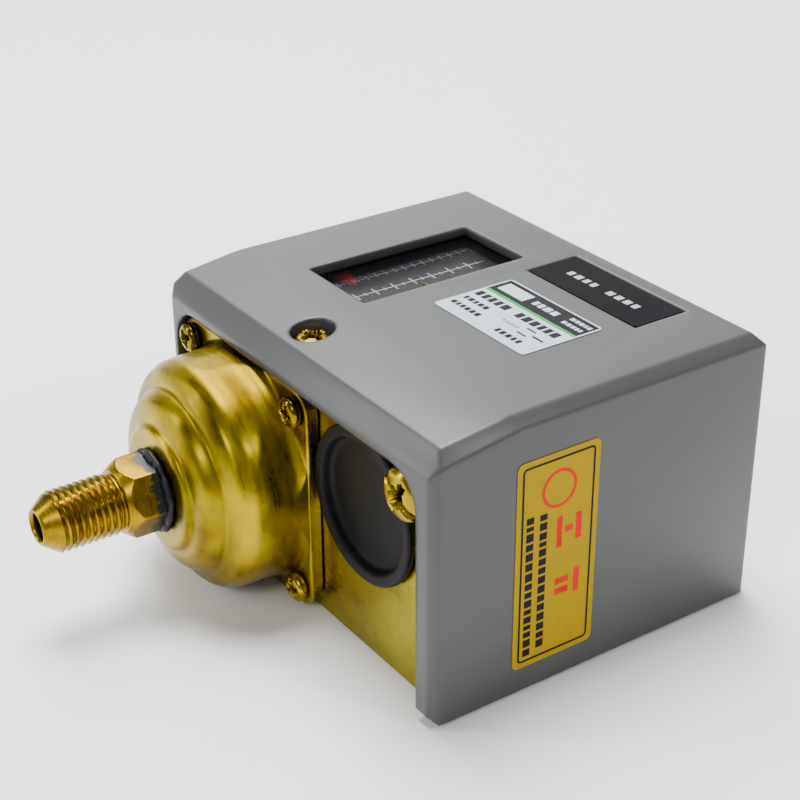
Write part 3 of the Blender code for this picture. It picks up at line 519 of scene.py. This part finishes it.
def cross_depth(u, v, radius, slotted):
    """A cross at 1, fading to 0 at its edges. A slotted head's second bar runs to the rim."""
    wide, span = radius * 0.18, radius * 0.62

    def bar(a, b, reach):
        over_width = np.clip((wide - np.abs(a)) / (wide * 0.4), 0, 1)
        return over_width * np.clip((reach - np.abs(b)) / (radius * 0.1), 0, 1)

    return np.maximum(bar(u, v, span), bar(v, u, radius * 1.1 if slotted else span))


def screw(node, base, way, sizes, turn, finish=SCREW_GOLD, body="chassis",
          slotted=False):
    """A pan-head screw as one surface: its profile turned about its own axis, which points along way.
    Inside the dome's cross, the surface drops by a depth that fades at the cross's edges."""
    radius, height, _, _ = sizes
    base, way = np.asarray(base, float), np.asarray(way, float)
    path = screw_profile(*sizes)
    angle = around(96)
    side = np.cross(way, [0.3, 0.5, 0.81])
    side /= np.linalg.norm(side)
    other = np.cross(way, side)
    r = across(path[:, 0], len(angle))
    cross = cross_depth(r * np.cos(angle + turn), r * np.sin(angle + turn), radius, slotted)
    depth = np.where((path[:, 1] > height * 0.45)[:, None], cross, 0.0)
    h = path[:, 1:] - depth * height * 0.75
    grid = base + r[..., None] * (np.cos(angle)[:, None] * side + np.sin(angle)[:, None] * other)[None]
    grid = grid + h[..., None] * way
    name = node.replace("_terminal", "").replace("_screw", "_pan_screw")
    piece = grid_piece(name, grid, finish, body, poles=(0, -1), sharp=42)
    # The cross's depth is kept at each point. The screw finish lays painted shade in the cross from it.
    at_points = np.append(depth.ravel(), [0.0, 1.0])
    piece.data.attributes.new("recess_shade", "FLOAT", "POINT").data.foreach_set("value", at_points)
    stand_for(node)


def make_screws():
    """Four flange screws, the cover's and the earth's screws, and three terminal screws."""
    corners = [(a, b) for a in (-1, 1) for b in (-1, 1)]
    for n, (a, b) in enumerate(corners, 1):
        base = (AXIS_X + a * FLANGE_SPACING, 1.1, AXIS_Z + b * FLANGE_SPACING)
        screw(f"flange_screw_{n}", base, OUT, FLANGE_SIZES, 0.35 * n)
    screw("cover_screw", (-4.4, 8.1, 48.4), UP, COVER_SIZES, 0.9, body="cover_screw")
    screw("earth_screw", (32.4, 2.35, 39.4), OUT, EARTH_SIZES, 0.2, slotted=True)
    for which, x, top in (("common", 11.5, 20.5), ("upper", 19.4, 23.0), ("lower", 27.5, 14.8)):
        screw(f"{which}_terminal_screw", (x, 56.0, top + 0.3), UP, TERMINAL_SIZES, 0.5 * x,
              STEEL)


# ---------------------------------------------------------------- springs and bellows

SPRING_START = 11.3
SPRING_SPLIT = 0.3  # share of a helix that belongs to the lever's end
# Name, X, far end, coil radius, wire, turns and the nut it presses on.
SPRINGS = (
    ("range", AXIS_X, 32.7, 6.4, 1.8, 7.5, "range_nut"),
    ("differential", DIFFERENTIAL_X, 37.3, 3.4, 0.9, 11.5, "differential_nut"),
)


def coil_path(x, z, y0, y1, radius, wire, turns):
    """Points on a helix along Y. Its rise is slow in the first and last turn, which lie closed, and
    even between them."""
    n = int(turns * 40)
    part = np.linspace(0, 1, n + 1)
    ends, closed = 1.0 / turns, wire * 1.12 / (y1 - y0 - wire)
    middle = closed + (1 - 2 * closed) * (part - ends) / (1 - 2 * ends)
    last = np.where(part > 1 - ends, 1 - closed * (1 - part) / ends, middle)
    rise = np.where(part < ends, closed * part / ends, last)
    angle = 2 * math.pi * turns * part
    y = y0 + wire / 2 + (y1 - y0 - wire) * rise
    return np.stack([x + radius * np.cos(angle), y, z + radius * np.sin(angle)], 1)


def make_springs():
    """Each spring as two lengths of one helix, the near one and the far one, that share the point
    between them. Neither rides on a body."""
    for name, x, y1, radius, wire, turns, nut in SPRINGS:
        path = coil_path(x, AXIS_Z, SPRING_START, y1, radius, wire, turns)
        split = int(len(path) * SPRING_SPLIT)
        for length, points, body, moving in (
            ("near_coil", path[: split + 1], "main_lever", SPRING_START),
            ("far_coil", path[split:], nut, y1),
        ):
            grid = tube(points, wire / 2 * 0.99, 14)[:, ::-1]
            piece = grid_piece(f"{name}_{length}", grid, WIRE, None, poles=(0, -1))
            if body == nut:
                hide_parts(f"{name}_spring")
            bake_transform(piece)


def make_bellows():
    """Corrugated tube: the radius swings between root and crest as a flattened cosine along Y. The
    path goes over the lip, along the outside, across the end disc and back along the inside."""
    mid_radius, swing_radius, pitch, wall = 9.7, 1.45, 2.6, 0.35
    lip_y, disc_y = 4.1, -9.0
    y = np.linspace(2.6, -8.6, 150)
    swing = np.cos((y + 8.6) / pitch * 2 * math.pi + math.pi)
    r = mid_radius + swing_radius * np.sign(swing) * np.abs(swing) ** 0.6
    path = np.vstack([
        [(10.9, lip_y), (11.2, 3.9), (11.2, 3.1), (10.4, 2.8)],
        np.stack([r, y], 1),
        [(7.6, -8.95), (3.0, disc_y), (0.4, disc_y), (0.4, -8.55), (3.0, -8.55), (7.6, -8.5)],
        np.stack([r[::-1] - wall, y[::-1] + 0.05], 1),
        [(10.5, 3.4), (10.6, lip_y)],
    ])
    piece = grid_piece("formed_bellows", revolve(path, 64)[:, ::-1], BRONZE, None, True)
    stand_for("bellows")
    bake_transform(piece)


# ---------------------------------------------------------------- grommet

GROMMET_PATH = (
    (0.2, 6.2), (8.6, 6.2), (8.6, 8.6), (13.1, 8.6), (13.5, 6.35), (11.9, 6.3), (11.9, 4.25),
    (14.2, 4.2), (14.2, 3.1), (13.7, 2.7), (12.4, 2.7), (11.9, 3.1), (11.6, 4.6), (10.6, 4.95),
    (0.2, 4.95),
)


def make_grommet():
    """Blind rubber grommet: a turned path with full, round edges and a thin membrane."""
    path = subdivide(smooth_path(GROMMET_PATH, 0.45, 4), 0.5)
    grid = revolve(path, 120, GROMMET_X, GROMMET_Z)
    piece = grid_piece("blind_grommet", grid[:, ::-1], RUBBER, "chassis", poles=(0, -1))
    stand_for("cable_grommet")


# ---------------------------------------------------------------- printing

INK = 0.02
LABEL_TOP, RESET_TOP, SCALE_TOP, LABEL_SIDE = 52.36, 52.24, 46.62, 42.16


def upright(u, v, height, on_side):
    """Points that lie on a top (u is X, v is Y) or on the cover's side (u is Y, v is Z)."""
    return np.stack([height, u, v] if on_side else [u, v, height], axis=1)


def tiles(name, boxes, lift, finish, body="cover", on_side=False):
    """Thin printed blocks. Each box is (u0, v0, u1, v1) in the surface's own two directions."""
    u0, v0, u1, v1 = np.array(boxes, float).T
    corners = []
    for height in (np.full_like(u0, lift), np.full_like(u0, lift + INK)):
        for u, v in ((u0, v0), (u1, v0), (u1, v1), (u0, v1)):
            corners.append(upright(u, v, height, on_side))
    points = np.stack(corners, axis=1).reshape(-1, 3)
    block = np.array([(0, 3, 2, 1), (4, 5, 6, 7), (0, 1, 5, 4), (1, 2, 6, 5), (2, 3, 7, 6), (3, 0, 4, 7)])
    faces = (block[None] + 8 * np.arange(len(boxes))[:, None, None]).reshape(-1, 4)
    new_piece(name, points, faces, finish, body, sharp=30)


def outline(name, corners, width, lift, finish, radius):
    """A closed line printed on the cover's side: its corners are rounded by quadratic curves, and its
    two edges lie half a width to either side."""
    steps = 6
    loop = np.array([*corners, corners[0], corners[1]], float)
    path = smooth_path(loop, radius, steps)[1:]
    path = path[: len(corners) * (steps + 1)]
    along = np.roll(path, -1, axis=0) - np.roll(path, 1, axis=0)
    along /= np.maximum(np.linalg.norm(along, axis=1), 1e-9)[:, None]
    out = np.stack([along[:, 1], -along[:, 0]], 1) * width / 2
    low, high = np.full(len(path), lift), np.full(len(path), lift + INK)
    edges = ((path + out, low), (path + out, high), (path - out, high), (path - out, low))
    rows = [upright(flat[:, 0], flat[:, 1], height, True) for flat, height in edges]
    grid_piece(name, np.array(rows), finish, "cover", True, sharp=30)


def dashes(*rows):
    """Boxes that stand for lines of words. Each row is its start, end, middle, height and seed, the
    gap between dashes, and their least and greatest length."""
    boxes = []
    for start, end, middle, height, seed, gap, short, long in rows:
        rng = np.random.default_rng(seed)
        at = start
        while at < end - short:
            length = min(rng.uniform(short, long), end - at)
            boxes.append((at, middle - height / 2, at + length, middle + height / 2))
            at += length + gap
    return boxes


def make_printing():
    """Generic print: bands and rows of dashes where the labels have words."""
    tiles("rating_band", [(0.5, 41.6, 24.7, 46.7)], LABEL_TOP, BLACK_INK)
    tiles("rating_stripe", [(0.5, 40.9, 24.7, 41.55)], LABEL_TOP, GREEN_INK)
    head = [(1.6, 42.7, 8.6, 45.7)] + dashes(
        (10.2, 17.5, 44.2, 1.5, 3, 0.45, 0.9, 1.7),
        (19.0, 24.2, 45.2, 0.9, 4, 0.3, 0.5, 1.0),
        (19.0, 24.2, 43.3, 0.9, 5, 0.3, 0.5, 1.0),
    )
    tiles("rating_head_dashes", head, LABEL_TOP + INK, WHITE_FILM)
    lines = dashes(
        (1.0, 10.0, 38.9, 1.9, 6, 0.5, 1.0, 1.7),
        (12.2, 23.2, 38.9, 1.9, 7, 0.5, 1.0, 1.7),
        (1.2, 8.4, 36.0, 1.2, 8, 0.35, 0.7, 1.2),
        (1.2, 10.0, 33.2, 1.2, 9, 0.35, 0.6, 1.2),
        (12.6, 17.0, 35.6, 0.5, 10, 0.4, 0.3, 0.4),
        (14.8, 21.4, 32.4, 1.3, 11, 0.45, 0.8, 1.3),
    )
    lines += [(17.6, 34.4, 20.0, 34.8), (17.6, 36.6, 20.0, 37.0), (20.6, 35.3, 23.4, 35.8)]
    tiles("rating_dashes", lines, LABEL_TOP, BLACK_INK)
    reset = dashes((3.4, 11.6, 57.6, 1.5, 12, 0.8, 1.1, 1.5), (14.0, 23.2, 57.6, 1.5, 13, 0.8, 1.1, 1.5))
    tiles("reset_dashes", reset, RESET_TOP, PALE_INK)

    frame_line = [(17.3, 6.3), (31.6, 6.3), (31.6, 42.9), (17.3, 42.9)]
    outline("side_frame_line", frame_line, 0.4, LABEL_SIDE, BLACK_INK, radius=0.8)
    ring = [(24.6 + 3.3 * math.cos(a), 37.4 + 3.3 * math.sin(a)) for a in around(16)]
    outline("side_ring", ring, 0.55, LABEL_SIDE, RED_INK, radius=0.6)
    blocks = [
        (24.4, 26.2, 25.5, 32.0), (26.1, 28.6, 27.7, 29.8), (28.3, 26.6, 29.5, 31.6),
        (24.4, 17.0, 27.2, 18.2), (24.4, 19.0, 27.2, 20.2), (28.3, 16.4, 29.5, 21.0),
    ]
    tiles("side_blocks", blocks, LABEL_SIDE, RED_INK, on_side=True)
    for n, (middle, low, high, seed) in enumerate(((21.6, 8.0, 33.8, 14), (18.9, 7.2, 33.8, 15)), 1):
        row = dashes((low, high, middle, 1.5, seed, 0.45, 0.8, 1.6))
        column = [(v0, u0, v1, u1) for u0, v0, u1, v1 in row]
        tiles(f"side_dashes_{n}", column, LABEL_SIDE, BLACK_INK, on_side=True)


def make_scales():
    """Two printed scales: a line along Y with a tick every 2.1, and one with long and short crossed
    ticks, each every 4.2."""
    low, high = 22.0, 56.0
    first = [(-26.1, low, -25.9, high)]
    first += [(-26.9, y - 0.1, -25.1, y + 0.1) for y in np.arange(22.8, high, 2.1)]
    second = [(-20.1, low, -19.9, high)]
    second += [(-21.4, y - 0.12, -18.6, y + 0.12) for y in np.arange(22.8, high, 4.2)]
    second += [(-20.6, y - 0.08, -19.4, y + 0.08) for y in np.arange(24.9, high, 4.2)]
    tiles("scale_lines", first + second, SCALE_TOP, SCALE_WHITE, "chassis")


# ---------------------------------------------------------------- cover


def make_cover():
    """The cover's own mesh with loose triangles joined to faces, and its edges rounded."""
    mesh = NODES["cover"].data.copy()
    mesh.name = "cover_shell"
    bm = bmesh.new()
    bm.from_mesh(mesh)
    bmesh.ops.remove_doubles(bm, verts=bm.verts, dist=0.000002)
    bmesh.ops.dissolve_limit(bm, angle_limit=math.radians(1.0), verts=bm.verts, edges=bm.edges)
    bm.to_mesh(mesh)
    bm.free()
    shade_smooth(mesh, sharp=35)
    mesh.materials.clear()
    mesh.materials.append(GREY)
    obj = new_object("cover_shell", mesh)
    soften = obj.modifiers.new("edges", "BEVEL")
    soften.width = 0.00022
    soften.segments = 3
    soften.limit_method = "ANGLE"
    soften.angle_limit = math.radians(40)
    soften.harden_normals = True
    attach(obj, "cover")
    stand_for("cover")


make_cover()
make_connector()
make_cup()
make_sealant()
make_screws()
make_springs()
make_bellows()
make_grommet()
make_printing()
make_scales()

# ---------------------------------------------------------------- stage

CAMERA_PLACE = (0.22025, -0.16252, 0.17666)
CAMERA_RIGHT = (0.5654, 0.8248, -0.0047)
CAMERA_UP = (-0.3841, 0.2683, 0.8834)
CAMERA_BACK = (0.7299, -0.4977, 0.4685)
# Name, place, what it is turned to, width and height, and power.
LIGHTS = (
    ("top_box", (-0.15, 0.05, 0.9), (0, 0, 0.02), (0.4, 0.4), 15.0),
    ("left_strip", (-0.5, -0.7, 0.35), (-0.02, -0.04, 0.03), (0.12, 0.7), 3.4),
    ("front_box", (0.35, -0.75, 0.6), (0, 0, 0.02), (0.25, 0.25), 2.5),
    ("corner_glint", (0.46, 0.165, 0.45), (0.041, -0.031, 0.049), (0.04, 0.04), 0.8),
    ("backdrop_light", (-1.0, 0.3, 1.3), (-0.9, 0.7, 0.0), (0.8, 0.8), 22.0),
)


def make_floor():
    """A pale floor that runs away from the camera and curves up behind the object: a straight run, a
    quarter circle and a wall. It lies just under the object."""
    start, bend, radius, wall, half = -1.4, 0.9, 0.5, 2.2, 2.0
    curve = [(bend + radius * math.sin(a), radius - radius * math.cos(a))
             for a in np.linspace(0.1, math.pi / 2, 12)]
    path = np.array([(start, 0.0), (bend, 0.0), *curve, (bend + radius, wall)])
    away = -np.array(CAMERA_BACK[:2]) / math.hypot(*CAMERA_BACK[:2])
    side = np.array([away[1], -away[0]])
    flat = path[:, :1, None] * away + np.array([-half, half])[None, :, None] * side
    points = np.concatenate([flat, np.repeat(path[:, 1:], 2, axis=1)[..., None]], axis=-1)
    mesh = bpy.data.meshes.new("floor")
    faces = faces_of_grid(len(path), 2, False, False)
    mesh.from_pydata(points.reshape(-1, 3).tolist(), [], faces.tolist())
    shade_smooth(mesh)
    mesh.materials.append(Nodes("floor_paper", (0.93, 0.93, 0.93), 0.8).material)
    obj = new_object("floor", mesh)
    obj.location.z = -0.0002


def make_light(name, at, aim, size, power):
    """A soft rectangular light at a place, turned to face another."""
    data = bpy.data.lights.new(name, "AREA")
    data.shape = "RECTANGLE"
    data.size, data.size_y = size
    data.energy = power
    obj = new_object(name, data)
    obj.location = at
    away = np.array(at, float) - np.array(aim, float)
    away /= np.linalg.norm(away)
    right = np.cross([0, 0, 1], away)
    right /= np.linalg.norm(right)
    up = np.cross(away, right)
    obj.rotation_euler = Matrix(np.stack([right, up, away], axis=1).tolist()).to_euler()


def make_camera():
    data = bpy.data.cameras.new("camera")
    data.lens = 77.2
    data.sensor_width = 36.0
    data.clip_start, data.clip_end = 0.01, 20.0
    obj = new_object("camera", data)
    obj.matrix_world = Matrix((CAMERA_RIGHT, CAMERA_UP, CAMERA_BACK)).transposed().to_4x4()
    obj.location = CAMERA_PLACE
    bpy.context.scene.camera = obj


def make_world():
    """An even, slightly cool sky that fills the shadows."""
    world = bpy.data.worlds.new("studio")
    bpy.context.scene.world = world
    world.use_nodes = True
    background = world.node_tree.nodes["Background"]
    background.inputs["Color"].default_value = (0.96, 0.97, 1.0, 1)
    background.inputs["Strength"].default_value = 0.3


make_floor()
make_world()
make_camera()
for light in LIGHTS:
    make_light(*light)
